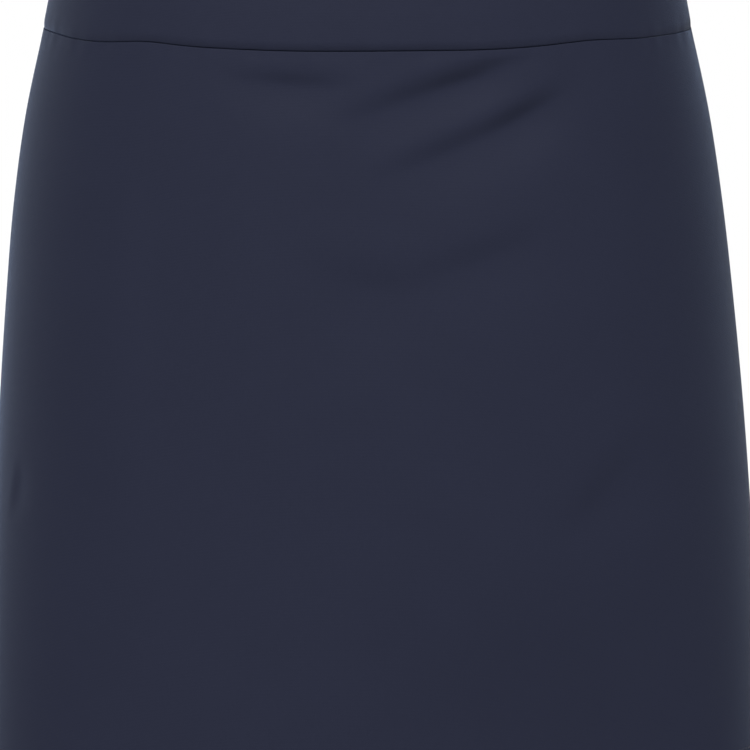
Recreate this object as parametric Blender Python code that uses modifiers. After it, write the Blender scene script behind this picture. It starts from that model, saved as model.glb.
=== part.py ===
"""A pull-on mini skirt in firm stretch cloth, filled out as it is when it is worn.

Four cut pieces: a front and a back waistband, and a front and a back panel. They meet
at a waist seam and two side seams. The hem is folded up inside the panels.

Metres, +Z up, the front faces -Y. The origin is the middle of the ring that the
waistband closes round the waist, half way up the band at the side seams.
"""

import math
from collections import namedtuple

import bmesh
import bpy
import numpy as np

# Driving dimensions.
SKIRT_LENGTH = 0.365  # waist seam to hem, at the side seams
BAND_HEIGHT = 0.038
BAND_THICKNESS = 0.0030  # two layers of cloth round a flat elastic
BAND_PROUD = 0.0006  # how far the band stands out from the panels below it
BAND_FULLNESS = 0.0005  # how far the band swells between its edges
BAND_EDGE_RADIUS = 0.0009
CLOTH_THICKNESS = 0.0013
HEM_TURN_UP = 0.020
HEM_AIR = 0.0004  # between the two layers of the hem
SEAM_GAP = 0.0003
WAIST_DIP = 0.005  # the waist seam is this much lower at centre front than at the sides
SIDE_SEAM = math.radians(95)  # turn from centre front, a little behind the widest line

# Level sections of the worn skirt on a general figure, from the top of the band down:
# drop below the waist seam at the sides, half the width, depth of the front and of the
# back from the widest line, how square the section is (2 is an ellipse), and how far the
# stance takes it towards +X.
Section = namedtuple("Section", "drop half_width front_depth back_depth squareness lean")
SECTIONS = (
    Section(-0.045, 0.1468, 0.0950, 0.0985, 2.12, 0.0000),
    Section(0.000, 0.1569, 0.1007, 0.1045, 2.14, 0.0000),
    Section(0.040, 0.1656, 0.1052, 0.1152, 2.17, 0.0000),
    Section(0.085, 0.1723, 0.1091, 0.1258, 2.20, 0.0003),
    Section(0.130, 0.1769, 0.1119, 0.1316, 2.22, 0.0010),
    Section(0.180, 0.1811, 0.1138, 0.1328, 2.24, 0.0018),
    Section(0.260, 0.1863, 0.1149, 0.1294, 2.27, 0.0024),
    Section(0.370, 0.1913, 0.1143, 0.1242, 2.30, 0.0026),
)
HIP_DROP = 0.180

# Soft creases: distance from the middle of the panel round the cloth (+ towards +X) and
# below the waist seam, length along the crease, its rise towards +X in degrees, width of
# the trough, its depth, how far its middle sags, and the height of the lip above it as a
# share of the depth.
Crease = namedtuple("Crease", "across below length rise width depth sag lip")
FRONT_CREASES = (
    Crease(-0.036, 0.0160, 0.076, -2, 0.0110, 0.0026, 0.0008, 0.05),
    Crease(0.033, 0.0200, 0.118, 19, 0.0140, 0.0036, 0.0000, 0.10),
    Crease(0.049, 0.0157, 0.052, 15, 0.0105, 0.0014, 0.0000, 0.05),
    Crease(0.053, 0.0425, 0.124, 23, 0.0150, 0.0038, 0.0010, 0.08),
    Crease(0.075, 0.0341, 0.054, 27, 0.0120, 0.0018, 0.0000, 0.05),
    Crease(0.004, 0.1130, 0.080, -6, 0.0230, 0.0022, 0.0020, 0.10),
    Crease(0.055, 0.1000, 0.088, 19, 0.0180, 0.0021, 0.0010, 0.10),
    Crease(0.116, 0.2150, 0.090, 48, 0.0200, 0.0020, 0.0000, 0.10),
    Crease(-0.101, 0.1300, 0.270, 88, 0.0300, 0.0018, 0.0000, 0.10),
    Crease(-0.190, 0.2180, 0.036, 76, 0.0070, 0.0009, 0.0010, 0.20),
)
BACK_CREASES = (
    Crease(-0.047, 0.0150, 0.104, -14, 0.0110, 0.0022, 0.0010, 0.25),
    Crease(0.040, 0.0130, 0.086, 8, 0.0090, 0.0015, 0.0010, 0.15),
    Crease(0.066, 0.0330, 0.116, 22, 0.0145, 0.0025, 0.0015, 0.25),
    Crease(-0.136, 0.1700, 0.120, -26, 0.0170, 0.0016, 0.0015, 0.20),
    Crease(0.124, 0.2320, 0.140, 11, 0.0190, 0.0016, 0.0025, 0.20),
    Crease(-0.028, 0.2570, 0.130, -7, 0.0180, 0.0013, 0.0020, 0.20),
    Crease(0.176, 0.1180, 0.080, -54, 0.0130, 0.0010, 0.0010, 0.20),
)
# In half widths of the trough: its upper side, its gentler lower side, and where its lip is.
UPPER_REACH = 1.0
LOWER_REACH = 2.6
LIP_OFFSET = -1.6

# Slow waves that hang down to the hem: distance from the middle of the panel, half the
# width of the wave, how far the hem stands out (+) or falls in (-), and where it starts.
Wave = namedtuple("Wave", "across half_width out starts_below")
FRONT_WAVES = (
    Wave(-0.176, 0.050, 0.0026, 0.150),
    Wave(-0.062, 0.060, 0.0014, 0.190),
    Wave(0.105, 0.085, -0.0130, 0.230),
    Wave(0.192, 0.046, 0.0022, 0.170),
)
BACK_WAVES = (
    Wave(-0.166, 0.052, -0.0024, 0.170),
    Wave(-0.058, 0.066, 0.0026, 0.150),
    Wave(0.052, 0.050, -0.0015, 0.200),
    Wave(0.146, 0.058, 0.0022, 0.180),
)

SEAM_HOLD = 0.007  # the waist seam holds the cloth smooth for this distance
SIDE_HOLD = 0.012  # each side seam does so for this distance
WAVE_SIDE_HOLD = 0.048  # and takes longer over the slow waves

# Spacing of the mesh: where a stretch ends, and the cells in it, from the waist seam down,
# and from the side seam at -X round to the one at +X, where None is the far end.
Stretch = namedtuple("Stretch", "end cells")
PANEL_ROWS = (Stretch(0.055, 11), Stretch(0.150, 7), Stretch(SKIRT_LENGTH, 11))
FRONT_COLUMNS = (Stretch(-0.070, 12), Stretch(0.105, 22), Stretch(None, 10))
BACK_COLUMNS = (Stretch(None, 34),)
BAND_COLUMNS = (Stretch(None, 32),)
SEAM_CELL = 0.002  # the last cell beside a side seam is short, so that its wall stands square
FOLD_CELLS = 3
TURN_UP_CELLS = 2
BAND_ROWS = 4

NAVY = (0.0262, 0.0296, 0.0529, 1.0)
BAND_NAVY = (0.0285, 0.0318, 0.0560, 1.0)
CLOTH_ROUGHNESS = 0.72


def curve_through(column):
    """A smooth curve through one column of SECTIONS, as a function of the drop."""
    drops = np.array([section.drop for section in SECTIONS])
    values = np.array([getattr(section, column) for section in SECTIONS])
    slopes = np.gradient(values, drops)

    def at(drop):
        first = np.clip(np.searchsorted(drops, drop) - 1, 0, len(drops) - 2)
        step = drops[first + 1] - drops[first]
        t = (drop - drops[first]) / step
        start, end = values[first], values[first + 1]
        leaving, arriving = slopes[first] * step, slopes[first + 1] * step
        return (
            start * (2 * t**3 - 3 * t**2 + 1)
            + leaving * (t**3 - 2 * t**2 + t)
            + end * (3 * t**2 - 2 * t**3)
            + arriving * (t**3 - t**2)
        )

    return at


half_width_at = curve_through("half_width")
front_depth_at = curve_through("front_depth")
back_depth_at = curve_through("back_depth")
squareness_at = curve_through("squareness")
lean_at = curve_through("lean")


def smooth_step(value):
    """0 up to value 0, 1 from value 1, and smooth between them."""
    t = np.clip(value, 0.0, 1.0)
    return t * t * (3 - 2 * t)


def section_point(turn, drop):
    """x, y and the outward x, y of the level section at a turn from centre front."""
    width = half_width_at(drop)
    depth = np.where(np.cos(turn) > 0, front_depth_at(drop), back_depth_at(drop))
    power = squareness_at(drop)
    bearing = np.arctan2(
        half_width_at(HIP_DROP) * np.sin(turn), front_depth_at(HIP_DROP) * np.cos(turn)
    )
    east, south = np.sin(bearing), np.cos(bearing)
    radius = (np.abs(east / width) ** power + np.abs(south / depth) ** power) ** (-1 / power)
    x, y = radius * east, -radius * south
    out_x = np.sign(x) * np.abs(x) ** (power - 1) / width**power
    out_y = np.sign(y) * np.abs(y) ** (power - 1) / depth**power
    length = np.hypot(out_x, out_y)
    return x + lean_at(drop), y, out_x / length, out_y / length


TURNS = np.linspace(-math.pi, math.pi, 2881)  # an eighth of a degree apart


def hip_girth_table():
    """Distance round the hip section from centre front, for each of TURNS."""
    x, y, _, _ = section_point(TURNS, np.full_like(TURNS, HIP_DROP))
    girth = np.concatenate([[0.0], np.cumsum(np.hypot(np.diff(x), np.diff(y)))])
    return girth - girth[len(TURNS) // 2]


HIP_GIRTH = hip_girth_table()
HALF_GIRTH = HIP_GIRTH[-1]
SEAM_GIRTH = np.interp(SIDE_SEAM, TURNS, HIP_GIRTH)


def spaced(stretches, start, end):
    """Evenly spaced values in each stretch from start to end."""
    values = [start]
    for stretch in stretches:
        stop = end if stretch.end is None else stretch.end
        values.extend(np.linspace(values[-1], stop, stretch.cells + 1)[1:])
    return np.array(values)


def round_half(faces_back, stretches):
    """The columns of the front or the back half, from the side seam at -X to that at +X.

    For each: distance from the middle of the piece, measured round the hips, distance to
    the nearest side seam, and turn from centre front.
    """
    half_piece = HALF_GIRTH - SEAM_GIRTH if faces_back else SEAM_GIRTH
    edge = half_piece - SEAM_GAP / 2
    across = spaced(stretches, SEAM_CELL - edge, edge - SEAM_CELL)
    across = np.concatenate([[-edge], across, [edge]])
    girth = HALF_GIRTH - across if faces_back else across
    girth = (girth + HALF_GIRTH) % (2 * HALF_GIRTH) - HALF_GIRTH
    return across, half_piece - np.abs(across), np.interp(girth, HIP_GIRTH, TURNS)


def waist_height(turn):
    """Height of the waist seam."""
    dip = WAIST_DIP * np.clip(np.cos(turn), 0, 1) ** 2
    return -BAND_HEIGHT / 2 - dip


def crease_depth(crease, across, below):
    """How far this crease takes the cloth in."""
    east, down = across - crease.across, below - crease.below
    rise = math.radians(crease.rise)
    along = east * math.cos(rise) - down * math.sin(rise)
    beside = down * math.cos(rise) + east * math.sin(rise)
    to_middle = np.clip(1 - (2 * along / crease.length) ** 2, 0, 1)
    off_line = 2 * (beside - crease.sag * to_middle) / crease.width
    reach = np.where(off_line < 0, UPPER_REACH, LOWER_REACH)
    trough = np.exp(-((off_line / reach) ** 2))
    lip = crease.lip * np.exp(-(((off_line - LIP_OFFSET) / UPPER_REACH) ** 2))
    return crease.depth * to_middle**2 * (trough - lip)


def wave_height(wave, across, below):
    """How far this wave takes the cloth out."""
    aside = (across - wave.across) / wave.half_width
    fall = smooth_step((below - wave.starts_below) / (SKIRT_LENGTH - wave.starts_below))
    return wave.out * np.exp(-(aside**2)) * fall


def drape(across, below, creases, waves, to_side_seam):
    """How far the creases and waves move the cloth out of its plain section."""
    out = sum(wave_height(wave, across, below) for wave in waves)
    out *= smooth_step(to_side_seam / WAVE_SIDE_HOLD)
    taken_in = sum(crease_depth(crease, across, below) for crease in creases)
    taken_in *= smooth_step(below / SEAM_HOLD) * smooth_step(to_side_seam / SIDE_HOLD)
    return out - taken_in


def panel_path():
    """Distance below the waist seam, and inset from the outer face, of each row of cloth.

    The cloth runs down to the hem, round its fold, and up inside for the turn-up.
    """
    fold_radius = (2 * CLOTH_THICKNESS + HEM_AIR) / 2
    fold_starts = SKIRT_LENGTH - fold_radius
    rows = spaced(PANEL_ROWS, 0.0, SKIRT_LENGTH)
    rows[-1] = fold_starts
    path = [(below, 0.0) for below in rows]
    for k in range(1, FOLD_CELLS + 1):
        angle = math.pi * k / FOLD_CELLS
        below = fold_starts + fold_radius * math.sin(angle)
        path.append((below, fold_radius * (1 - math.cos(angle))))
    for k in range(1, TURN_UP_CELLS + 1):
        rise = (HEM_TURN_UP - fold_radius) * k / TURN_UP_CELLS
        path.append((fold_starts - rise, 2 * fold_radius))
    return path


def panel_points(faces_back, columns, creases, waves):
    """Rows of points on the outer face of a panel, one for each step of its path."""
    hip_across, hip_to_seam, turn = round_half(faces_back, columns)
    waist = waist_height(turn)
    hem = -BAND_HEIGHT / 2 - SKIRT_LENGTH
    rows = []
    for below, inset in panel_path():
        height = waist - SEAM_GAP / 2 + (hem - waist) * below / SKIRT_LENGTH
        drop = -BAND_HEIGHT / 2 - height
        scale = half_width_at(drop) / half_width_at(HIP_DROP)
        out = drape(hip_across * scale, below, creases, waves, hip_to_seam * scale) - inset
        x, y, out_x, out_y = section_point(turn, drop)
        rows.append(np.stack([x + out_x * out, y + out_y * out, height], axis=1))
    return np.array(rows)


def band_points(faces_back, columns):
    """Rows of points on the waistband, in line with the outer face of the panels."""
    _, _, turn = round_half(faces_back, columns)
    rows = []
    for share in np.linspace(0, 1, BAND_ROWS + 1):
        height = waist_height(turn) + BAND_HEIGHT - share * (BAND_HEIGHT - SEAM_GAP / 2)
        swell = BAND_FULLNESS * math.sin(math.pi * share)
        x, y, out_x, out_y = section_point(turn, -BAND_HEIGHT / 2 - height)
        rows.append(np.stack([x + out_x * swell, y + out_y * swell, height], axis=1))
    return np.array(rows)


def cloth_material(name, colour):
    material = bpy.data.materials.new(name)
    material.use_nodes = True
    surface = material.node_tree.nodes["Principled BSDF"]
    surface.inputs["Base Color"].default_value = colour
    surface.inputs["Roughness"].default_value = CLOTH_ROUGHNESS
    surface.inputs["Metallic"].default_value = 0.0
    material.diffuse_color = colour
    return material


def cloth_sheet(name, points, faces_back, material, collection):
    """An open sheet through rows of points that run down and from -X to +X."""
    if not faces_back:
        points = points[:, ::-1]  # so that the front faces outwards too
    rows, columns = points.shape[:2]
    sheet = bmesh.new()
    bmesh.ops.create_grid(sheet, x_segments=columns - 1, y_segments=rows - 1, size=1.0)
    for vertex, point in zip(sheet.verts, points.reshape(-1, 3)):
        vertex.co = point
    mesh = bpy.data.meshes.new(name)
    sheet.to_mesh(mesh)
    sheet.free()
    mesh.materials.append(material)
    mesh.shade_smooth()
    piece = bpy.data.objects.new(name, mesh)
    collection.objects.link(piece)
    return piece


def add_thickness(piece, thickness, proud):
    """Gives a sheet its wall: proud of it by so much, and the rest behind it."""
    wall = piece.modifiers.new("wall", "SOLIDIFY")
    wall.thickness = thickness
    wall.offset = 2 * proud / thickness - 1
    wall.use_even_offset = True


def round_edges(piece, radius):
    edges = piece.modifiers.new("rounded_edges", "BEVEL")
    edges.width = radius
    edges.segments = 2
    edges.limit_method = "ANGLE"
    edges.angle_limit = math.radians(50)


def clear_scene():
    for old in list(bpy.data.objects):
        bpy.data.objects.remove(old)


def build_skirt():
    clear_scene()
    skirt = bpy.data.collections.new("mini_skirt")
    bpy.context.scene.collection.children.link(skirt)
    cloth = cloth_material("skirt_cloth", NAVY)
    band_cloth = cloth_material("waistband_cloth", BAND_NAVY)

    panels = (
        ("front_panel", False, FRONT_COLUMNS, FRONT_CREASES, FRONT_WAVES),
        ("back_panel", True, BACK_COLUMNS, BACK_CREASES, BACK_WAVES),
    )
    for name, faces_back, columns, creases, waves in panels:
        points = panel_points(faces_back, columns, creases, waves)
        panel = cloth_sheet(name, points, faces_back, cloth, skirt)
        add_thickness(panel, CLOTH_THICKNESS, 0.0)

    for name, faces_back in (("waistband_front", False), ("waistband_back", True)):
        points = band_points(faces_back, BAND_COLUMNS)
        band = cloth_sheet(name, points, faces_back, band_cloth, skirt)
        add_thickness(band, BAND_THICKNESS, BAND_PROUD)
        round_edges(band, BAND_EDGE_RADIUS)


build_skirt()
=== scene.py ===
"""The looks of a pull-on mini skirt in dark navy double knit, filled out as it is worn.

Metres, +Z up, the front faces -Y. The origin is the middle of the ring that the waistband
closes round the waist. The cloth follows the solids' form on a finer mesh, with rolled
edges at the seams, seam allowances inside, and its sewing.
"""

import math
from collections import namedtuple

import bmesh
import bpy
import numpy as np
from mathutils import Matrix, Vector


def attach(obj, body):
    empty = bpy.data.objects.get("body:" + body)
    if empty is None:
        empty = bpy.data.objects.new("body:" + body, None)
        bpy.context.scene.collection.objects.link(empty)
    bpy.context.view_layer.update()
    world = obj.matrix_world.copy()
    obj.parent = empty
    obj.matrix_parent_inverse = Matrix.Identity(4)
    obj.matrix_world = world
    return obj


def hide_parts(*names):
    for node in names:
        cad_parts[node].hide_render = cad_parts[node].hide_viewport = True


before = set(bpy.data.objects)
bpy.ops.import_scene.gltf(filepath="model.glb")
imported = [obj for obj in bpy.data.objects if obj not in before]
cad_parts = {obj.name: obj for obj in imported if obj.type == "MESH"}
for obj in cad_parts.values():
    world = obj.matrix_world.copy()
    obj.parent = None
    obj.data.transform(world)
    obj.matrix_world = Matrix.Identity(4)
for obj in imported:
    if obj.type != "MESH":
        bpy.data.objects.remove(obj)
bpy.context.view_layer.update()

# --- Sizes of the skirt ---------------------------------------------------------------

SKIRT_LENGTH = 0.365  # waist seam to hem, at the side seams
BAND_HEIGHT = 0.038
BAND_THICKNESS = 0.0030  # two layers of cloth round a flat elastic
BAND_PROUD = 0.0010  # how far the band stands out from the panels, at centre front
BAND_PROUD_AT_SIDES = 0.0003
BAND_FULLNESS = 0.0005  # how far the band swells between its edges
CLOTH_THICKNESS = 0.0013
BAND_CLOTH_THICKNESS = 0.0010  # the same cloth, stretched over the elastic
HEM_TURN_UP = 0.020
HEM_AIR = 0.0004  # between the two layers of the hem
HEM_THICKNESS = 2 * CLOTH_THICKNESS + HEM_AIR
WAIST_DIP = 0.005  # the waist seam is this much lower at centre front than at the sides
SIDE_SEAM = math.radians(95)  # turn from centre front, a little behind the widest line

# Level sections of the worn skirt, from the top of the band down. The drop is measured from
# the waist seam at the side seams. A squareness of 2 is an ellipse, and more is squarer. The
# lean is how far the stance takes a section towards +X.
Section = namedtuple("Section", "drop half_width front_depth back_depth squareness lean")
SECTIONS = (
    Section(-0.045, 0.1468, 0.0950, 0.0985, 2.12, 0.0000),
    Section(0.000, 0.1569, 0.1007, 0.1045, 2.14, 0.0000),
    Section(0.040, 0.1656, 0.1052, 0.1152, 2.17, 0.0000),
    Section(0.085, 0.1723, 0.1091, 0.1258, 2.20, 0.0003),
    Section(0.130, 0.1769, 0.1119, 0.1316, 2.22, 0.0010),
    Section(0.180, 0.1811, 0.1138, 0.1328, 2.24, 0.0018),
    Section(0.260, 0.1863, 0.1149, 0.1294, 2.27, 0.0024),
    Section(0.370, 0.1913, 0.1143, 0.1242, 2.30, 0.0026),
)
HIP_DROP = 0.180  # places across a piece are measured round the section here

# Soft creases: distance from the middle of the panel round the cloth (+ towards +X) and
# below the waist seam, length along the crease, its rise towards +X in degrees, width of
# the trough, its depth, how far its middle sags, and the height of the lip above it as a
# share of the depth.
Crease = namedtuple("Crease", "across below length rise width depth sag lip")
FRONT_CREASES = (
    Crease(-0.036, 0.0160, 0.076, -2, 0.0110, 0.0026, 0.0008, 0.05),
    Crease(0.033, 0.0200, 0.118, 19, 0.0140, 0.0039, 0.0000, 0.10),
    Crease(0.049, 0.0157, 0.052, 15, 0.0105, 0.0017, 0.0000, 0.05),
    Crease(0.053, 0.0425, 0.124, 23, 0.0150, 0.0041, 0.0010, 0.08),
    Crease(0.075, 0.0341, 0.054, 27, 0.0120, 0.0022, 0.0000, 0.05),
    Crease(0.004, 0.1130, 0.080, -6, 0.0230, 0.0022, 0.0020, 0.10),
    Crease(0.055, 0.1000, 0.088, 19, 0.0180, 0.0021, 0.0010, 0.10),
    Crease(0.116, 0.2150, 0.090, 48, 0.0200, 0.0020, 0.0000, 0.10),
    Crease(-0.101, 0.1300, 0.270, 88, 0.0300, 0.0018, 0.0000, 0.10),
    Crease(-0.190, 0.2180, 0.036, 76, 0.0070, 0.0009, 0.0010, 0.20),
)
BACK_CREASES = (
    Crease(-0.047, 0.0150, 0.104, -14, 0.0110, 0.0022, 0.0010, 0.25),
    Crease(0.040, 0.0130, 0.086, 8, 0.0090, 0.0015, 0.0010, 0.15),
    Crease(0.066, 0.0330, 0.116, 22, 0.0145, 0.0025, 0.0015, 0.25),
    Crease(-0.136, 0.1700, 0.120, -26, 0.0170, 0.0016, 0.0015, 0.20),
    Crease(0.124, 0.2320, 0.140, 11, 0.0190, 0.0016, 0.0025, 0.20),
    Crease(-0.028, 0.2570, 0.130, -7, 0.0180, 0.0013, 0.0020, 0.20),
    Crease(0.176, 0.1180, 0.080, -54, 0.0130, 0.0010, 0.0010, 0.20),
)
# In half widths of the trough: the reach of its upper side, that of its gentler lower side,
# and where its lip is, above its middle.
UPPER_REACH = 1.0
LOWER_REACH = 2.6
LIP_OFFSET = -1.6

# Slow waves that hang down to the hem: distance from the middle of the panel, half the
# width of the wave, how far the hem stands out (+) or falls in (-), and where it starts.
Wave = namedtuple("Wave", "across half_width out starts_below")
FRONT_WAVES = (
    Wave(-0.176, 0.050, 0.0026, 0.150),
    Wave(-0.062, 0.060, 0.0014, 0.190),
    Wave(0.105, 0.085, -0.0130, 0.230),
    Wave(0.192, 0.046, 0.0022, 0.170),
)
BACK_WAVES = (
    Wave(-0.166, 0.052, -0.0024, 0.170),
    Wave(-0.058, 0.066, 0.0026, 0.150),
    Wave(0.052, 0.050, -0.0015, 0.200),
    Wave(0.146, 0.058, 0.0022, 0.180),
)
SEAM_HOLD = 0.007  # the waist seam holds the cloth smooth for this distance
SIDE_HOLD = 0.012  # each side seam does so for this distance
WAVE_SIDE_HOLD = 0.048  # and takes longer over the slow waves

# Where the cloth pulls the waist seam off its even line: distance from centre front round
# the hips, half the width of the pull, and how far it goes up.
Pull = namedtuple("Pull", "across half_width up")
SEAM_PULLS = (
    Pull(0.126, 0.026, 0.0013),
    Pull(0.062, 0.030, -0.0004),
    Pull(-0.046, 0.050, -0.0005),
    Pull(-0.124, 0.018, 0.0010),
    Pull(-0.166, 0.028, -0.0014),
    Pull(0.310, 0.030, 0.0007),
    Pull(0.395, 0.022, -0.0006),
    Pull(-0.350, 0.035, 0.0008),
    Pull(-0.430, 0.024, -0.0005),
)
# The sewing draws the cloth into fine puckers along the seam: wavelength and height.
Pucker = namedtuple("Pucker", "wavelength height")
PUCKERS = (Pucker(0.0113, 0.00009), Pucker(0.0187, 0.00012), Pucker(0.0471, 0.00016))
PUCKER_REACH = 0.0065

# Where the cloth rolls into a seam: how far it goes in, and over what distance.
PANEL_ROLL_IN = 0.0001
PANEL_ROLL_OVER = 0.0055
BAND_ROLL_IN = 0.0019
BAND_ROLL_OVER = 0.0050
ROLL_AT_SIDES = 0.36  # share of the roll that the waist seam keeps beside the side seams
SIDE_ROLL_IN = 0.0007
SIDE_ROLL_OVER = 0.0028

# Spacing of the mesh: where each stretch of even cells ends, or None for the end of the
# piece, and the cells in it.
Stretch = namedtuple("Stretch", "end cells")
PANEL_ROWS = (
    Stretch(0.0050, 10),
    Stretch(0.0650, 30),
    Stretch(0.1400, 26),
    Stretch(SKIRT_LENGTH, 64),
)
FRONT_COLUMNS = (Stretch(-0.075, 66), Stretch(0.115, 84), Stretch(None, 60))
BACK_COLUMNS = (Stretch(None, 200),)
BAND_COLUMNS = (Stretch(None, 170),)
SEAM_CELLS = 5  # fine cells beside each side seam
FOLD_CELLS = 8
TURN_UP_CELLS = 9
BAND_FACE_CELLS = 14

# Points taken to measure the cut.
GIRTH_SAMPLES = 401  # along a level line
CUT_SAMPLES = 74  # down a panel

# --- Sewing -----------------------------------------------------------------------------

THREAD_RADIUS = 0.00015
THREAD_SIDES = 5
THREAD_ABOVE = 0.8 * THREAD_RADIUS  # from the cloth to the middle of a thread that lies on it
STITCH_PITCH = 0.0032
STITCH_LENGTH = 0.0028
# Points along a stitch, as shares of its length, and how far out each of them is.
STITCH_SHARES = (0.0, 0.12, 0.5, 0.88, 1.0)
STITCH_RISES = (-0.00025, 0.00010, 0.00014, 0.00010, -0.00025)
# Points along a loop, as shares of its pitch. It goes through its four places and back.
LOOP_SHARES = (0.0, 0.22, 0.42, 0.5, 0.58, 0.78, 1.0)
LOOP_PLACES = (0, 1, 2, 3, 2, 1, 0)

HEM_ROWS = (0.0125, 0.0180)  # the two needles' rows, above the hem
HEM_SEWING_GAP = 0.0006  # between the hem's sewing and each side seam
LOOPER_MIDDLE = 0.0160  # above the hem, where the looper thread stands highest
LOOPER_TO = 0.0210  # above the hem, so that it covers the raw edge
LOOPER_OFF_PANEL = 0.0002  # from the panel's inside to the middle of the thread up there

OVERLOCK_PITCH = 0.0026
OVERLOCK_NEEDLE = 0.0042  # from an allowance's raw edge to the needle's row
OVERLOCK_MIDDLE = 0.0022  # from the raw edge to where the loops stand highest
OVERLOCK_LIFT = 0.0001  # how much higher they are there
OVERLOCK_TURN = 0.0002  # from the raw edge to where they bend round it

ALLOWANCE_INSET = 0.0014  # from a panel's outer face to the side of an allowance next to it
ALLOWANCE_THICKNESS = 0.0022
ALLOWANCE_BEVEL = 0.0004
ALLOWANCE_CELL = 0.004
WAIST_ALLOWANCE = 0.0082
SIDE_ALLOWANCE = 0.0094
ALLOWANCE_GAP = 0.0004  # between a seam and the allowance's nearest edge
SIDE_TO_WAIST_GAP = 0.0012  # between a side allowance and the waist allowance above it
SIDE_TO_HEM_GAP = 0.0014  # between a side allowance and the turned-up hem below it

# --- Camera -----------------------------------------------------------------------------

IMAGE_SIZE = 750
SCALE_AT_HIPS = 0.000488  # metres a pixel, at the widest line of the skirt
CAMERA_DISTANCE = 3.2
CAMERA_PITCH = math.radians(6.6)  # how far it looks down
CAMERA_AIM = Vector((0.0036, 0.0, -0.1888))  # what the middle of the picture shows
SENSOR_WIDTH_MM = 36.0


# --- Form -------------------------------------------------------------------------------

def curve_through(column):
    """A smooth curve through one column of SECTIONS, as a function of the drop."""
    drops = np.array([section.drop for section in SECTIONS])
    values = np.array([getattr(section, column) for section in SECTIONS])
    slopes = np.gradient(values, drops)

    def at(drop):
        first = np.clip(np.searchsorted(drops, drop) - 1, 0, len(drops) - 2)
        step = drops[first + 1] - drops[first]
        t = (drop - drops[first]) / step
        start, end = values[first], values[first + 1]
        leaving, arriving = slopes[first] * step, slopes[first + 1] * step
        return (
            start * (2 * t**3 - 3 * t**2 + 1)
            + leaving * (t**3 - 2 * t**2 + t)
            + end * (3 * t**2 - 2 * t**3)
            + arriving * (t**3 - t**2)
        )

    return at


half_width_at = curve_through("half_width")
front_depth_at = curve_through("front_depth")
back_depth_at = curve_through("back_depth")
squareness_at = curve_through("squareness")
lean_at = curve_through("lean")


def smooth_step(value):
    """0 up to value 0, 1 from value 1, and smooth between them."""
    t = np.clip(value, 0.0, 1.0)
    return t * t * (3 - 2 * t)


def section_point(turn, drop):
    """x, y and the outward x, y of the level section at a turn from centre front."""
    width = half_width_at(drop)
    depth = np.where(np.cos(turn) > 0, front_depth_at(drop), back_depth_at(drop))
    power = squareness_at(drop)
    bearing = np.arctan2(
        half_width_at(HIP_DROP) * np.sin(turn), front_depth_at(HIP_DROP) * np.cos(turn)
    )
    east, south = np.sin(bearing), np.cos(bearing)
    radius = (np.abs(east / width) ** power + np.abs(south / depth) ** power) ** (-1 / power)
    x, y = radius * east, -radius * south
    out_x = np.sign(x) * np.abs(x) ** (power - 1) / width**power
    out_y = np.sign(y) * np.abs(y) ** (power - 1) / depth**power
    length = np.hypot(out_x, out_y)
    return x + lean_at(drop), y, out_x / length, out_y / length


TURNS = np.linspace(-math.pi, math.pi, 8 * 360 + 1)  # an eighth of a degree apart


def hip_girth_table():
    """Distance round the hip section from centre front, for each of TURNS."""
    x, y, _, _ = section_point(TURNS, HIP_DROP)
    girth = np.concatenate([[0.0], np.cumsum(np.hypot(np.diff(x), np.diff(y)))])
    return girth - girth[len(TURNS) // 2]


HIP_GIRTH = hip_girth_table()
HALF_GIRTH = HIP_GIRTH[-1]
SEAM_GIRTH = np.interp(SIDE_SEAM, TURNS, HIP_GIRTH)


def half_piece(faces_back):
    """Half the width of the front or the back, measured round the hips."""
    return HALF_GIRTH - SEAM_GIRTH if faces_back else SEAM_GIRTH


def turn_at(faces_back, across):
    """Turn from centre front, at a distance round the hips from the middle of a piece."""
    girth = HALF_GIRTH - across if faces_back else across
    girth = (girth + HALF_GIRTH) % (2 * HALF_GIRTH) - HALF_GIRTH
    return np.interp(girth, HIP_GIRTH, TURNS)


def piece_width(faces_back, drop):
    """Width of the front or the back, round the cloth from side seam to side seam."""
    edge = half_piece(faces_back)
    turn = turn_at(faces_back, np.linspace(-edge, edge, GIRTH_SAMPLES))
    x, y, _, _ = section_point(turn, drop)
    return float(np.hypot(np.diff(x), np.diff(y)).sum())


def spaced(stretches, start, end):
    """Evenly spaced values in each stretch from start to end."""
    values = [start]
    for stretch in stretches:
        stop = end if stretch.end is None else stretch.end
        values.extend(np.linspace(values[-1], stop, stretch.cells + 1)[1:])
    return np.array(values)


def columns_across(faces_back, stretches):
    """Distances from the middle of a piece, with fine cells beside both side seams."""
    edge = half_piece(faces_back)
    inner = edge - SIDE_ROLL_OVER
    beside = np.linspace(inner, edge, SEAM_CELLS + 1)[1:]
    return np.concatenate([-beside[::-1], spaced(stretches, -inner, inner), beside])


def waist_height(turn):
    """Height of the waist seam."""
    dip = WAIST_DIP * np.clip(np.cos(turn), 0, 1) ** 2
    girth = np.interp(turn, TURNS, HIP_GIRTH)
    pulled = sum(
        pull.up * np.exp(-(((girth - pull.across) / pull.half_width) ** 2))
        for pull in SEAM_PULLS
    )
    return -BAND_HEIGHT / 2 - dip + pulled


def pucker_height(turn, from_seam):
    """How far the puckers take the cloth out, at a distance from the waist seam."""
    girth = np.interp(turn, TURNS, HIP_GIRTH)
    height = sum(
        pucker.height * np.sin(2 * math.pi * girth / pucker.wavelength) for pucker in PUCKERS
    )
    return height * np.exp(-((from_seam / PUCKER_REACH) ** 2))


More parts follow.
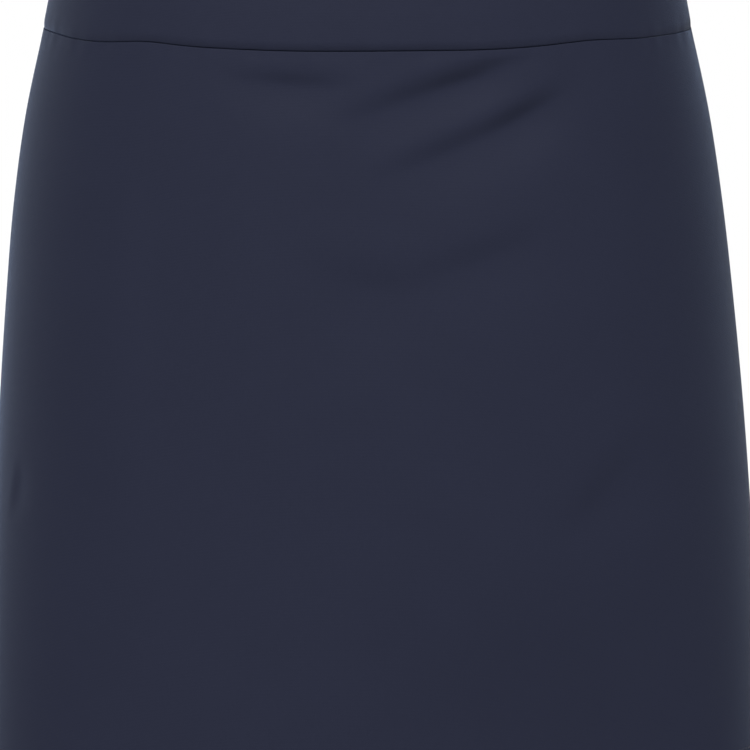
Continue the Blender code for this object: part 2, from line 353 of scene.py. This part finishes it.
def crease_depth(crease, across, below):
    """How far this crease takes the cloth in."""
    east, down = across - crease.across, below - crease.below
    rise = math.radians(crease.rise)
    along = east * math.cos(rise) - down * math.sin(rise)
    beside = down * math.cos(rise) + east * math.sin(rise)
    to_middle = np.clip(1 - (2 * along / crease.length) ** 2, 0, 1)
    off_line = 2 * (beside - crease.sag * to_middle) / crease.width
    reach = np.where(off_line < 0, UPPER_REACH, LOWER_REACH)
    trough = np.exp(-((off_line / reach) ** 2))
    lip = crease.lip * np.exp(-(((off_line - LIP_OFFSET) / UPPER_REACH) ** 2))
    return crease.depth * to_middle**2 * (trough - lip)


def wave_height(wave, across, below):
    """How far this wave takes the cloth out."""
    aside = (across - wave.across) / wave.half_width
    fall = smooth_step((below - wave.starts_below) / (SKIRT_LENGTH - wave.starts_below))
    return wave.out * np.exp(-(aside**2)) * fall


def drape(across, below, creases, waves, to_side_seam):
    """How far the creases and waves move the cloth out of its plain section."""
    out = sum(wave_height(wave, across, below) for wave in waves)
    out *= smooth_step(to_side_seam / WAVE_SIDE_HOLD)
    taken_in = sum(crease_depth(crease, across, below) for crease in creases)
    taken_in *= smooth_step(below / SEAM_HOLD) * smooth_step(to_side_seam / SIDE_HOLD)
    return out - taken_in


def roll_in(distance, depth, over):
    """How far the cloth rolls in at a distance from its seam, steepest at the seam."""
    return depth * np.clip(1 - distance / over, 0, 1) ** 2


def waist_roll(turn):
    """Share of its full roll that the cloth has at the waist seam."""
    return ROLL_AT_SIDES + (1 - ROLL_AT_SIDES) * np.cos(turn) ** 2


Panel = namedtuple("Panel", "name faces_back columns creases waves")
PANELS = (
    Panel("front_panel", False, FRONT_COLUMNS, FRONT_CREASES, FRONT_WAVES),
    Panel("back_panel", True, BACK_COLUMNS, BACK_CREASES, BACK_WAVES),
)


def panel_point(panel, across, below, inset):
    """Points of a panel's cloth, this far inside its outer face.

    Distances are numbers, or arrays whose shapes go together.
    """
    turn = turn_at(panel.faces_back, across)
    waist = waist_height(turn)
    hem = -BAND_HEIGHT / 2 - SKIRT_LENGTH
    height = waist + (hem - waist) * below / SKIRT_LENGTH
    drop = -BAND_HEIGHT / 2 - height
    scale = half_width_at(drop) / half_width_at(HIP_DROP)
    to_seam = half_piece(panel.faces_back) - np.abs(across)
    out = drape(across * scale, below, panel.creases, panel.waves, to_seam * scale)
    out = out - inset - roll_in(to_seam, SIDE_ROLL_IN, SIDE_ROLL_OVER)
    held = 1 - smooth_step(below / PANEL_ROLL_OVER)
    out = out - waist_roll(turn) * PANEL_ROLL_IN * held + pucker_height(turn, below)
    x, y, out_x, out_y = section_point(turn, drop)
    return np.stack([x + out_x * out, y + out_y * out, height], axis=-1)


def panel_path():
    """Below the waist seam, inset from the outer face and length of cloth, row by row."""
    fold_radius = HEM_THICKNESS / 2
    fold_starts = SKIRT_LENGTH - fold_radius
    rows = spaced(PANEL_ROWS, 0.0, SKIRT_LENGTH)
    rows[-1] = fold_starts
    path = [(below, 0.0) for below in rows]
    for angle in np.linspace(0, math.pi, FOLD_CELLS + 1)[1:]:
        below = fold_starts + fold_radius * math.sin(angle)
        path.append((below, fold_radius * (1 - math.cos(angle))))
    for rise in np.linspace(0, HEM_TURN_UP - fold_radius, TURN_UP_CELLS + 1)[1:]:
        path.append((fold_starts - rise, 2 * fold_radius))
    steps = np.hypot(*np.diff(np.array(path), axis=0).T)
    lengths = np.concatenate([[0.0], np.cumsum(steps)])
    return [(below, inset, length) for (below, inset), length in zip(path, lengths)]


def band_path():
    """Above the waist seam, inset from the outer face, roll into the seam, and length of
    cloth, row by row, up the inside and down the outside."""
    fold_radius = BAND_THICKNESS / 2
    top = BAND_HEIGHT - fold_radius
    path = [(above, BAND_THICKNESS, 0.0) for above in np.linspace(0, top, BAND_FACE_CELLS + 1)]
    for angle in np.linspace(0, math.pi, FOLD_CELLS + 1)[1:]:
        above = top + fold_radius * math.sin(angle)
        path.append((above, fold_radius * (1 + math.cos(angle)), 0.0))
    for above in np.linspace(top, BAND_ROLL_OVER, BAND_FACE_CELLS + 1)[1:]:
        path.append((above, -BAND_FULLNESS * math.sin(math.pi * above / top), 0.0))
    for above in np.linspace(BAND_ROLL_OVER, 0, FOLD_CELLS + 1)[1:]:
        swell = BAND_FULLNESS * math.sin(math.pi * above / top)
        path.append((above, -swell, roll_in(above, BAND_ROLL_IN, BAND_ROLL_OVER)))
    above, inset, roll = np.array(path).T
    steps = np.hypot(np.diff(above), np.diff(inset + roll))
    lengths = np.concatenate([[0.0], np.cumsum(steps)])
    return list(zip(above, inset, roll, lengths))


def band_point(faces_back, across, above, inset, roll):
    """Points of the waistband's cloth, this far inside its outer face."""
    turn = turn_at(faces_back, across)
    height = waist_height(turn) + above
    to_seam = half_piece(faces_back) - np.abs(across)
    proud = BAND_PROUD_AT_SIDES + (BAND_PROUD - BAND_PROUD_AT_SIDES) * np.cos(turn) ** 2
    out = proud - inset - roll * waist_roll(turn)
    out = out - roll_in(to_seam, SIDE_ROLL_IN, SIDE_ROLL_OVER) + pucker_height(turn, above)
    x, y, out_x, out_y = section_point(turn, -BAND_HEIGHT / 2 - height)
    return np.stack([x + out_x * out, y + out_y * out, height], axis=-1)


# --- Cloth --------------------------------------------------------------------------------

def cloth_sheet(name, points, across, lengths, faces_back, material, thickness):
    """A sheet of cloth through rows of points that run down its outer face.

    Its UV map is the flat cloth in metres.
    """
    uv = np.stack(np.meshgrid(across, -np.array(lengths)), axis=-1)
    if not faces_back:  # so that the front faces outwards too
        points, uv = points[:, ::-1], uv[:, ::-1]
    rows, columns = points.shape[:2]
    sheet = bmesh.new()
    bmesh.ops.create_grid(sheet, x_segments=columns - 1, y_segments=rows - 1, size=1.0)
    layer = sheet.loops.layers.uv.new("flat_cloth")
    flat_points, flat_uv = points.reshape(-1, 3), uv.reshape(-1, 2)
    for vertex, point in zip(sheet.verts, flat_points):
        vertex.co = point
    for face in sheet.faces:
        for loop in face.loops:
            loop[layer].uv = flat_uv[loop.vert.index]
    mesh = bpy.data.meshes.new(name)
    sheet.to_mesh(mesh)
    sheet.free()
    mesh.materials.append(material)
    mesh.shade_smooth()
    piece = bpy.data.objects.new(name, mesh)
    bpy.context.scene.collection.objects.link(piece)
    wall = piece.modifiers.new("wall", "SOLIDIFY")
    wall.thickness = thickness
    wall.offset = -1
    wall.use_even_offset = True
    return piece


def panel_cloth(panel, material):
    """A panel's cloth with its hem turned up."""
    path = panel_path()
    across = columns_across(panel.faces_back, panel.columns)
    points = np.array([panel_point(panel, across, below, inset) for below, inset, _ in path])
    lengths = [length for _, _, length in path]
    name = panel.name + "_cloth"
    piece = cloth_sheet(
        name, points, across, lengths, panel.faces_back, material, CLOTH_THICKNESS
    )
    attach(piece, "root")
    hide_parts(panel.name)
    return piece


def band_cloth(node, faces_back, material):
    """Half the waistband's cloth, folded over its elastic."""
    path = band_path()
    across = columns_across(faces_back, BAND_COLUMNS)
    points = np.array([
        band_point(faces_back, across, above, inset, roll) for above, inset, roll, _ in path
    ])
    lengths = [length for _, _, _, length in path]
    piece = cloth_sheet(
        node + "_cloth", points, across, lengths, faces_back, material, BAND_CLOTH_THICKNESS
    )
    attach(piece, "root")
    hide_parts(node)
    return piece


# --- Sewing and seam allowances -----------------------------------------------------------

def joined_tubes(name, rings, material, smooth):
    """One mesh of closed tubes: rings of points, as tubes x rings x points x 3."""
    tubes, count, sides = rings.shape[:3]
    index = np.arange(tubes * count * sides).reshape(tubes, count, sides)
    after = np.roll(index, -1, axis=2)
    walls = np.stack([index[:, :-1], index[:, 1:], after[:, 1:], after[:, :-1]], axis=-1)
    caps = np.concatenate([index[:, 0, ::-1], index[:, -1]])
    mesh = bpy.data.meshes.new(name)
    faces = walls.reshape(-1, 4).tolist() + caps.tolist()
    mesh.from_pydata(rings.reshape(-1, 3).tolist(), [], faces)
    shape = bmesh.new()
    shape.from_mesh(mesh)
    bmesh.ops.recalc_face_normals(shape, faces=shape.faces)
    shape.to_mesh(mesh)
    shape.free()
    mesh.materials.append(material)
    if smooth:
        mesh.shade_smooth()
    piece = bpy.data.objects.new(name, mesh)
    bpy.context.scene.collection.objects.link(piece)
    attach(piece, "root")
    return piece


def unit(vectors):
    """The vectors, each with length 1."""
    return vectors / np.linalg.norm(vectors, axis=-1, keepdims=True)


def thread(name, paths, material):
    """Lengths of thread along paths of points, as paths x points x 3."""
    along = unit(np.gradient(paths, axis=1))
    outward = unit(paths * (1, 1, 0))
    side = unit(np.cross(along, outward))
    above = np.cross(side, along)
    angles = 2 * math.pi * np.arange(THREAD_SIDES) / THREAD_SIDES
    ring = side[:, :, None] * np.cos(angles)[:, None] + above[:, :, None] * np.sin(angles)[:, None]
    return joined_tubes(name, paths[:, :, None] + THREAD_RADIUS * ring, material, True)


def stitch_paths(place, start, end, offset, inset):
    """Straight stitches along a seam, whose middles are further out than their ends.

    Outside, their ends dip into the cloth. Inside, they stand up from it like a chain.
    place(along, offset, inset) gives points on the cloth; all the sewing is laid with it.
    """
    starts = np.arange(start, end - STITCH_LENGTH, STITCH_PITCH)[:, None]
    along = starts + np.array(STITCH_SHARES) * STITCH_LENGTH
    return place(along, offset, inset - np.array(STITCH_RISES))


def loop_paths(place, start, end, pitch, offsets, insets):
    """Loops that run from the needle's row to the edge, round it, and back.

    offsets and insets give a loop's four places, from the needle's row outwards.
    """
    starts = np.arange(start, end - pitch, pitch)[:, None]
    along = starts + np.array(LOOP_SHARES) * pitch
    out_and_back = list(LOOP_PLACES)
    return place(along, np.array(offsets)[out_and_back], np.array(insets)[out_and_back])


def on_panel_below_waist(panel):
    """A panel's cloth, measured along its waist seam and down from it."""
    return lambda along, offset, inset: panel_point(panel, along, offset, inset)


def on_panel_above_hem(panel):
    """A panel's cloth, measured along its hem and up from it."""
    return lambda along, offset, inset: panel_point(panel, along, SKIRT_LENGTH - offset, inset)


def beside_seam(side):
    """The back panel's cloth, measured down a side seam and away from it."""
    back = PANELS[1]
    edge = half_piece(back.faces_back)
    return lambda along, offset, inset: panel_point(back, side * (edge - offset), along, inset)


def allowance(name, place, start, end, width, material):
    """Two layers of cloth beside a seam, pressed flat against the inside of a panel."""
    cells = int((end - start) / ALLOWANCE_CELL)
    near, far = ALLOWANCE_GAP, width
    inner, outer = ALLOWANCE_INSET, ALLOWANCE_INSET + ALLOWANCE_THICKNESS
    bevel = ALLOWANCE_BEVEL
    offset = np.array([near, far - bevel, far, far, far - bevel, near])
    inset = np.array([inner, inner, inner + bevel, outer - bevel, outer, outer])
    rings = place(np.linspace(start, end, cells + 1)[:, None], offset, inset)
    return joined_tubes(name, rings[None], material, False)


def overlocked(name, place, start, end, width, cloth, yarn):
    """An allowance, and the overlocking round its raw edge."""
    strip = allowance(name, place, start, end, width, cloth)
    face = ALLOWANCE_INSET + ALLOWANCE_THICKNESS + THREAD_ABOVE
    middle = ALLOWANCE_INSET + ALLOWANCE_THICKNESS / 2
    needle = width - OVERLOCK_NEEDLE
    highest, turn = width - OVERLOCK_MIDDLE, width - OVERLOCK_TURN
    offsets = (needle, highest, turn, width + THREAD_ABOVE)
    insets = (face, face + OVERLOCK_LIFT, face, middle)
    loops = loop_paths(place, start, end, OVERLOCK_PITCH, offsets, insets)
    chain = stitch_paths(place, start, end, needle, face + THREAD_RADIUS)
    return [
        strip,
        thread(name + "_overlock", loops, yarn),
        thread(name + "_chain", chain, yarn),
    ]


def hem_sewing(panel, yarn):
    """Two rows of needle thread outside; the same rows and a looper's zigzag inside."""
    place = on_panel_above_hem(panel)
    edge = half_piece(panel.faces_back) - HEM_SEWING_GAP
    face = HEM_THICKNESS + THREAD_ABOVE
    outside = [stitch_paths(place, -edge, edge, row, 0.0) for row in HEM_ROWS]
    inside = [stitch_paths(place, -edge, edge, row, face) for row in HEM_ROWS]
    offsets = (HEM_ROWS[0], LOOPER_MIDDLE, HEM_TURN_UP, LOOPER_TO)
    insets = (face, face + THREAD_RADIUS, face, CLOTH_THICKNESS + LOOPER_OFF_PANEL)
    looper = loop_paths(place, -edge, edge, STITCH_PITCH, offsets, insets)
    return [
        thread(panel.name + "_hem_stitches", np.concatenate(outside), yarn),
        thread(panel.name + "_hem_chain", np.concatenate(inside), yarn),
        thread(panel.name + "_hem_looper", looper, yarn),
    ]


# --- Materials --------------------------------------------------------------------------

NAVY = (0.0088, 0.0101, 0.0190)
# the panels' navy painted a touch lighter: painted light for the extra light that falls on the
# waistband
BAND_NAVY_PAINTED_LIGHTER = (0.0090, 0.0103, 0.0192)
YARN_NAVY = (0.0105, 0.0120, 0.0220)

WALE = 0.00085  # width of a column of stitches
COURSE = 0.00070  # height of a stitch
LEG_CENTRE = 0.25  # from the middle of a column to each leg of its stitches, in columns
STITCH_SLANT = 1.2
BEAD_SHARE = 0.4  # how much of a leg's height goes up and down with each stitch
KNIT_RELIEF = 0.00012
KNIT_BUMP = 0.35

# How much the tone goes up and down with the fibres and in soft patches, and how much painted
# shade darkens the knit's valleys. The noise scales are in cells a metre.
MELANGE = 0.10
MOTTLING = 0.08
VALLEY_SHADE = 0.06
FIBRE_SCALE = 1600.0
FIBRE_DETAIL = 2.0
PATCH_SCALE = 22.0
PATCH_DETAIL = 3.0
KNIT_ROUGHNESS = 0.55
KNIT_ROUGHNESS_SPREAD = 0.10
KNIT_SPECULAR = 0.03
KNIT_SHEEN = 0.10
KNIT_SHEEN_ROUGHNESS = 0.35
KNIT_SHEEN_TINT = (0.45, 0.62, 1.0, 1)

TWIST_SHADE = 0.5
TWIST_SCALE = 3500.0
YARN_ROUGHNESS = 0.4
YARN_ROUGHNESS_SPREAD = 0.2
YARN_SPECULAR = 0.08
YARN_SHEEN = 0.08


def maths(tree, operation, *values):
    """The output of a math node over numbers and sockets."""
    node = tree.nodes.new("ShaderNodeMath")
    node.operation = operation
    for socket, value in zip(node.inputs, values):
        if isinstance(value, (int, float)):
            socket.default_value = value
        else:
            tree.links.new(value, socket)
    return node.outputs[0]


def knit_height(tree, across, along):
    """Relief of a double knit's face: columns of stitches, each shaped like a V."""
    column = maths(tree, "FRACT", maths(tree, "DIVIDE", across, WALE))
    aside = maths(tree, "ABSOLUTE", maths(tree, "SUBTRACT", column, 0.5))
    from_leg = maths(tree, "SUBTRACT", maths(tree, "DIVIDE", aside, LEG_CENTRE), 1.0)
    leg = maths(tree, "SUBTRACT", 1.0, maths(tree, "MULTIPLY", from_leg, from_leg))
    courses = maths(tree, "DIVIDE", along, COURSE)
    slanted = maths(tree, "MULTIPLY_ADD", aside, STITCH_SLANT, courses)
    bead = maths(tree, "SINE", maths(tree, "MULTIPLY", slanted, 2 * math.pi))
    beaded = maths(tree, "MULTIPLY_ADD", bead, BEAD_SHARE, 1 - BEAD_SHARE)
    return maths(tree, "MULTIPLY", leg, beaded)


def noise(tree, place, scale, detail):
    """Noise from 0 to 1 over a vector socket."""
    node = tree.nodes.new("ShaderNodeTexNoise")
    node.inputs["Scale"].default_value = scale
    node.inputs["Detail"].default_value = detail
    tree.links.new(place, node.inputs["Vector"])
    return node.outputs[0]


def about_one(tree, value, spread):
    """A value from 0 to 1 as a factor that keeps within half the spread of 1."""
    return maths(tree, "MULTIPLY_ADD", value, spread, 1 - spread / 2)


def new_material(name):
    """A material, its node tree and the inputs of its surface."""
    material = bpy.data.materials.new(name)
    material.use_nodes = True
    tree = material.node_tree
    return material, tree, tree.nodes["Principled BSDF"].inputs


def dye(tree, surface, colour, tone):
    """Give a surface this colour times a tone."""
    dyed = tree.nodes.new("ShaderNodeVectorMath")
    dyed.operation = "SCALE"
    dyed.inputs[0].default_value = colour
    tree.links.new(tone, dyed.inputs["Scale"])
    tree.links.new(dyed.outputs[0], surface["Base Color"])


def knit_material(name, colour):
    """Double knit: its stitches in relief, fine and broad unevenness in its tone, and painted
    shade in its valleys.
    """
    material, tree, surface = new_material(name)
    surface["Specular IOR Level"].default_value = KNIT_SPECULAR
    surface["Sheen Weight"].default_value = KNIT_SHEEN
    surface["Sheen Roughness"].default_value = KNIT_SHEEN_ROUGHNESS
    surface["Sheen Tint"].default_value = KNIT_SHEEN_TINT

    flat = tree.nodes.new("ShaderNodeUVMap")
    flat.uv_map = "flat_cloth"
    parts = tree.nodes.new("ShaderNodeSeparateXYZ")
    tree.links.new(flat.outputs["UV"], parts.inputs[0])
    height = knit_height(tree, parts.outputs["X"], parts.outputs["Y"])
    fibres = noise(tree, flat.outputs["UV"], FIBRE_SCALE, FIBRE_DETAIL)
    patches = noise(tree, flat.outputs["UV"], PATCH_SCALE, PATCH_DETAIL)

    fine = about_one(tree, fibres, MELANGE)
    broad = about_one(tree, patches, MOTTLING)
    # painted shade: the tone is darker where the knit's relief is low
    valley = about_one(tree, height, VALLEY_SHADE)
    tone = maths(tree, "MULTIPLY", maths(tree, "MULTIPLY", fine, broad), valley)
    dye(tree, surface, colour, tone)
    rough = maths(tree, "MULTIPLY_ADD", fibres, KNIT_ROUGHNESS_SPREAD, KNIT_ROUGHNESS)
    tree.links.new(rough, surface["Roughness"])

    bump = tree.nodes.new("ShaderNodeBump")
    bump.inputs["Strength"].default_value = KNIT_BUMP
    bump.inputs["Distance"].default_value = KNIT_RELIEF
    tree.links.new(height, bump.inputs["Height"])
    tree.links.new(bump.outputs["Normal"], surface["Normal"])
    return material


def thread_material(name, colour):
    """Sewing thread, uneven in tone and gloss as its twisted fibres are."""
    material, tree, surface = new_material(name)
    surface["Specular IOR Level"].default_value = YARN_SPECULAR
    surface["Sheen Weight"].default_value = YARN_SHEEN
    place = tree.nodes.new("ShaderNodeTexCoord")
    fibres = noise(tree, place.outputs["Object"], TWIST_SCALE, FIBRE_DETAIL)
    dye(tree, surface, colour, about_one(tree, fibres, TWIST_SHADE))
    rough = maths(tree, "MULTIPLY_ADD", fibres, YARN_ROUGHNESS_SPREAD, YARN_ROUGHNESS)
    tree.links.new(rough, surface["Roughness"])
    return material


# --- Studio -----------------------------------------------------------------------------

FLOOR_HEIGHT = -0.95
FLOOR_RADIUS = 5.0
FLOOR_SIDES = 96
FLOOR_COLOUR = (0.62, 0.62, 0.62, 1)
FLOOR_ROUGHNESS = 0.9
WHITE = (1.0, 1.0, 1.0)
COOL_WHITE = (0.80, 0.90, 1.0)
Lamp = namedtuple("Lamp", "name place size watts colour")
LAMPS = (
    Lamp("front_lamp", (-2.2, -7.4, 6.4), 2.0, 1820, WHITE),
    Lamp("right_lamp", (6.2, -5.0, 6.6), 2.0, 600, WHITE),
    Lamp("back_lamp", (0.3, 3.6, 3.4), 1.2, 240, WHITE),
    Lamp("left_rim_lamp", (-2.2, 1.3, 0.5), 1.8, 22, COOL_WHITE),
    Lamp("right_rim_lamp", (2.2, 1.3, 0.5), 1.8, 2, COOL_WHITE),
)
# The studio's walls are white at the height of the skirt, and darker above and below.
# Heights are the sine of a direction's elevation.
WALL_WHITE_TO = 0.19
WALL_DIM_FROM = 0.38
DIM_SHARE = 0.12


def add_camera():
    """The camera in front, looking a little down, framed like the photograph."""
    data = bpy.data.cameras.new("camera")
    data.sensor_width = SENSOR_WIDTH_MM
    view_width = SCALE_AT_HIPS * IMAGE_SIZE
    data.lens = SENSOR_WIDTH_MM * CAMERA_DISTANCE / view_width
    camera = bpy.data.objects.new("camera", data)
    bpy.context.scene.collection.objects.link(camera)
    back = Vector((0, -math.cos(CAMERA_PITCH), math.sin(CAMERA_PITCH)))
    camera.location = CAMERA_AIM + back * CAMERA_DISTANCE
    camera.rotation_euler = (math.pi / 2 - CAMERA_PITCH, 0, 0)
    bpy.context.scene.camera = camera


def add_light(lamp):
    """A round lamp that faces the skirt and that the camera doesn't see."""
    data = bpy.data.lights.new(lamp.name, "AREA")
    data.shape = "DISK"
    data.size = lamp.size
    data.energy = lamp.watts
    data.color = lamp.colour
    light = bpy.data.objects.new(lamp.name, data)
    light.location = lamp.place
    to_skirt = CAMERA_AIM - Vector(lamp.place)
    light.rotation_euler = to_skirt.to_track_quat("-Z", "Y").to_euler()
    light.visible_camera = False
    bpy.context.scene.collection.objects.link(light)


def add_floor():
    """A pale round floor, well below the skirt."""
    bpy.ops.mesh.primitive_circle_add(
        vertices=FLOOR_SIDES,
        radius=FLOOR_RADIUS,
        fill_type="NGON",
        location=(0, 0, FLOOR_HEIGHT),
    )
    floor = bpy.context.active_object
    floor.name = "floor"
    paint, _, surface = new_material("pale_floor")
    surface["Base Color"].default_value = FLOOR_COLOUR
    surface["Roughness"].default_value = FLOOR_ROUGHNESS
    floor.data.materials.append(paint)


def add_world():
    """Walls that are white all round, and darken towards the ceiling and the floor."""
    world = bpy.data.worlds.new("studio")
    world.use_nodes = True
    tree = world.node_tree
    nodes, links = tree.nodes, tree.links
    direction = nodes.new("ShaderNodeTexCoord")
    parts = nodes.new("ShaderNodeSeparateXYZ")
    links.new(direction.outputs["Generated"], parts.inputs[0])
    height = maths(tree, "ABSOLUTE", parts.outputs["Z"])
    fade = nodes.new("ShaderNodeMapRange")
    fade.interpolation_type = "SMOOTHSTEP"
    fade.inputs["From Min"].default_value = WALL_WHITE_TO
    fade.inputs["From Max"].default_value = WALL_DIM_FROM
    fade.inputs["To Min"].default_value = 1.0
    fade.inputs["To Max"].default_value = DIM_SHARE
    links.new(height, fade.inputs["Value"])
    background = nodes["Background"]
    background.inputs["Color"].default_value = (1, 1, 1, 1)
    links.new(fade.outputs["Result"], background.inputs["Strength"])
    bpy.context.scene.world = world
    bpy.context.scene.view_settings.view_transform = "Standard"


def build_studio():
    add_camera()
    add_world()
    add_floor()
    for lamp in LAMPS:
        add_light(lamp)


# --- The skirt --------------------------------------------------------------------------

def build_panel(panel, cloth, yarn):
    """A panel with its sewing. The side seams' allowances lie on the back panel."""
    piece = panel_cloth(panel, cloth)
    edge = half_piece(panel.faces_back) - ALLOWANCE_GAP
    sewn_on = overlocked(
        panel.name + "_waist_allowance",
        on_panel_below_waist(panel),
        -edge,
        edge,
        WAIST_ALLOWANCE,
        cloth,
        yarn,
    )
    sewn_on += hem_sewing(panel, yarn)
    if panel.faces_back:
        for side, word in ((1, "left"), (-1, "right")):  # the skirt's own left is at +X
            sewn_on += overlocked(
                f"side_allowance_{word}",
                beside_seam(side),
                WAIST_ALLOWANCE + SIDE_TO_WAIST_GAP,
                SKIRT_LENGTH - HEM_TURN_UP - SIDE_TO_HEM_GAP,
                SIDE_ALLOWANCE,
                cloth,
                yarn,
            )
    drops = np.linspace(0, SKIRT_LENGTH, CUT_SAMPLES)
    widths = [piece_width(panel.faces_back, drop) for drop in drops]


def build_band(node, faces_back, cloth):
    """Half the waistband. Its flat cloth is twice as high as the band."""
    piece = band_cloth(node, faces_back, cloth)
    width = piece_width(faces_back, -BAND_HEIGHT / 2)


def build_skirt():
    """Both panels and both halves of the waistband, in their cloth."""
    panel_knit = knit_material("navy_knit", NAVY)
    # the waistband's knit has the panels' navy painted a touch lighter, as painted light
    band_knit = knit_material("waistband_knit", BAND_NAVY_PAINTED_LIGHTER)
    yarn = thread_material("navy_thread", YARN_NAVY)
    for panel in PANELS:
        build_panel(panel, panel_knit, yarn)
    build_band("waistband_front", False, band_knit)
    build_band("waistband_back", True, band_knit)


build_studio()
build_skirt()
